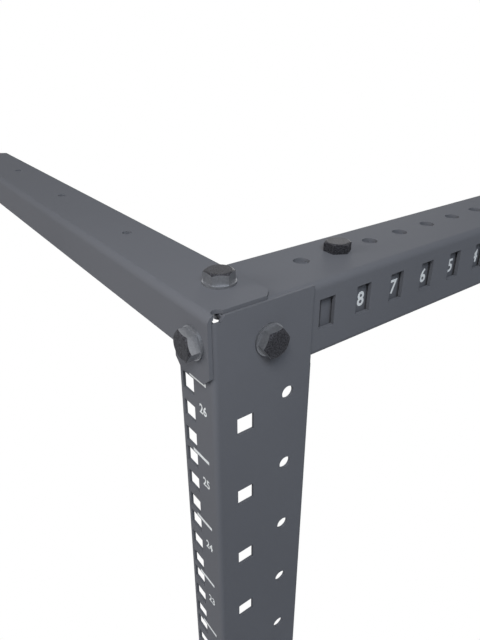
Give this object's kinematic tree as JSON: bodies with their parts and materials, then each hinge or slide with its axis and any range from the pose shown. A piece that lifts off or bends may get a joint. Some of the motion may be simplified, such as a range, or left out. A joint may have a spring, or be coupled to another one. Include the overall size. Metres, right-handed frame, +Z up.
{
  "type": "four post open frame rack",
  "caption": "Open frame equipment rack of folded steel: drilled posts, angle cross beams and telescoping depth rails with reading windows, on levelling feet.",
  "frame": {"origin": "centre of the rack's footprint, on the floor", "axes": "+Z up; the front faces -Y and +X is to its right"},
  "size_m": [0.5084, 0.588, 1.2537],
  "materials": {
    "powder_coat": "satin dark grey powder coat",
    "foot_stem": "zinc plated",
    "foot_pad": "black moulded nylon"
  },
  "bodies": {
    "root": {"post_front_left": "powder_coat", "post_front_right": "powder_coat", "post_rear_left": "powder_coat", "post_rear_right": "powder_coat", "top_beam_front": "powder_coat", "top_beam_rear": "powder_coat", "base_beam_front": "powder_coat", "base_beam_rear": "powder_coat", "top_rail_outer_left": "powder_coat", "top_rail_outer_right": "powder_coat", "top_rail_inner_left": "powder_coat", "top_rail_inner_right": "powder_coat", "top_sleeve_left": "powder_coat", "top_sleeve_right": "powder_coat", "base_rail_outer_left": "powder_coat", "base_rail_outer_right": "powder_coat", "base_rail_inner_left": "powder_coat", "base_rail_inner_right": "powder_coat", "base_sleeve_left": "powder_coat", "base_sleeve_right": "powder_coat", "foot_pad_front_left": "foot_pad", "foot_pad_front_right": "foot_pad", "foot_pad_rear_left": "foot_pad", "foot_pad_rear_right": "foot_pad", "foot_stem_front_left": "foot_stem", "foot_stem_front_right": "foot_stem", "foot_stem_rear_left": "foot_stem", "foot_stem_rear_right": "foot_stem"}
  },
  "joints": []
}
